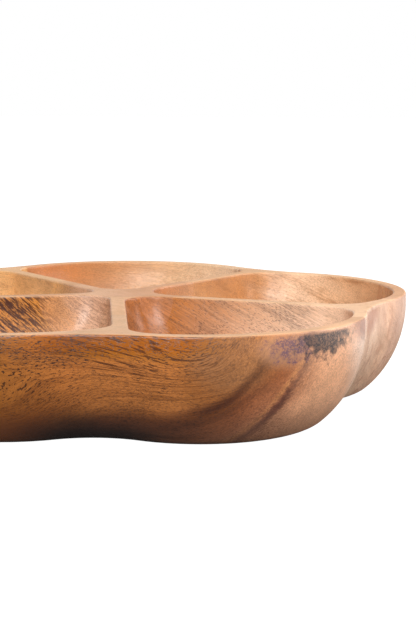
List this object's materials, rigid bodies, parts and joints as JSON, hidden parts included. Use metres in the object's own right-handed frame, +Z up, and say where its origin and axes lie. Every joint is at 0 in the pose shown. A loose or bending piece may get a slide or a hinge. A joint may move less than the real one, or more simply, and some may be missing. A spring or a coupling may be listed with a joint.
{
  "type": "divided serving bowl",
  "caption": "Flower-shaped wooden serving bowl with rounded lobes, straight dividers meeting at a flat hub, and a deep smooth pocket in each lobe.",
  "frame": {"origin": "on the hub's axis, in the plane of the flat base that the bowl stands on", "axes": "+Z up out of the pockets; +X along the boards and their grain; -Y towards the valley between the two front lobes"},
  "size_m": [0.298, 0.2914, 0.052],
  "materials": {
    "front_acacia": "satin lacquer",
    "front_middle_acacia": "satin lacquer",
    "hub_acacia": "satin lacquer",
    "back_middle_acacia": "satin lacquer",
    "back_acacia": "satin lacquer"
  },
  "bodies": {
    "root": {"front_board": "front_acacia", "front_middle_board": "front_middle_acacia", "hub_board": "hub_acacia", "back_middle_board": "back_middle_acacia", "back_board": "back_acacia"}
  },
  "joints": []
}
